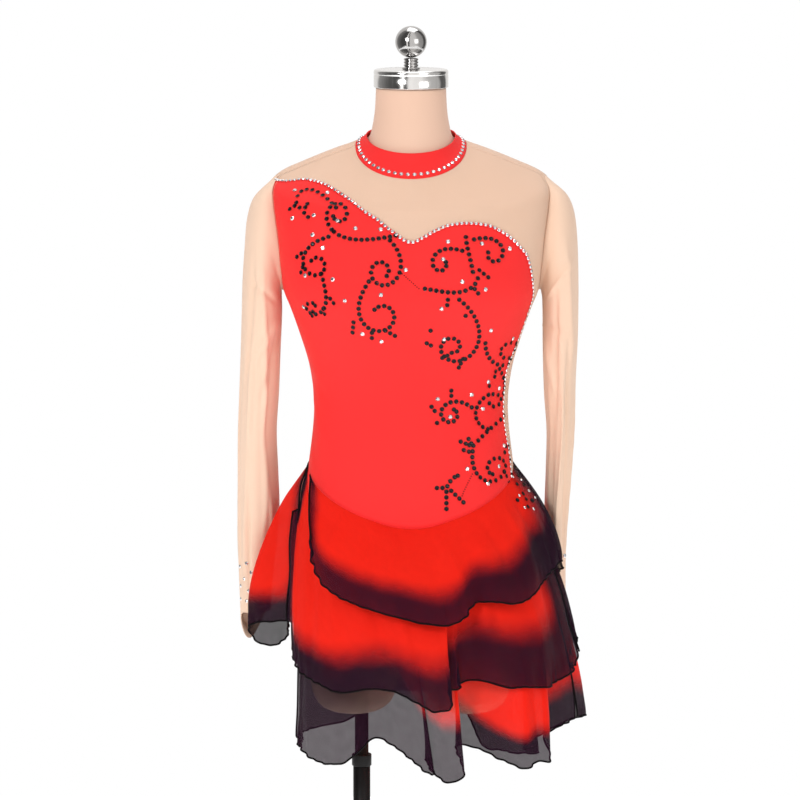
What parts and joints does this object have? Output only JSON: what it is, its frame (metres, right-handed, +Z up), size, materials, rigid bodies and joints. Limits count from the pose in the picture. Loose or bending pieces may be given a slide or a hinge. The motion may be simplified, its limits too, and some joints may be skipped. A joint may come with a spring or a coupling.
{
  "type": "figure skating dress on a dress form",
  "caption": "Long-sleeved figure skating dress with a sheer yoke and a tiered chiffon skirt, worn by a limbless dress form on a pole stand.",
  "frame": {"origin": "centre of the base plate's underside, on the floor, under the dress form's middle plane", "axes": "+Z up, the dress faces -Y, +X is the wearer's left"},
  "size_m": [0.4567, 0.3994, 1.5685],
  "materials": {
    "red_stretch": "matt stretch knit, coral red",
    "nude_mesh": "fine matt stretch mesh, nude",
    "chiffon": "sheer chiffon, red fading to black at the edges",
    "form_cover": "smooth nude jersey stretched over the form",
    "chrome_trim": "brushed and polished chrome",
    "stand_black": "satin black paint"
  },
  "bodies": {
    "stand": {"base_plate": "stand_black", "lower_tube": "stand_black", "lock_collar": "stand_black"},
    "form": {"dress_form": "form_cover", "neck_cap": "chrome_trim", "finial_stem": "chrome_trim", "finial_ball": "chrome_trim", "upper_pole": "stand_black", "bodice_front": "red_stretch", "yoke_front": "nude_mesh", "back_left": "nude_mesh", "back_right": "nude_mesh", "collar_band": "red_stretch", "sleeve_left": "nude_mesh", "sleeve_right": "nude_mesh", "brief": "red_stretch", "tier_1_front": "chiffon", "tier_1_back": "chiffon", "tier_2_front": "chiffon", "tier_2_back": "chiffon", "tier_3_front": "chiffon", "tier_3_back": "chiffon"}
  },
  "joints": [
    {"name": "height_slide", "type": "slide", "parent": "stand", "child": "form", "axis": [0, 0, 1], "range_m": [-0.05, 0.2]}
  ]
}
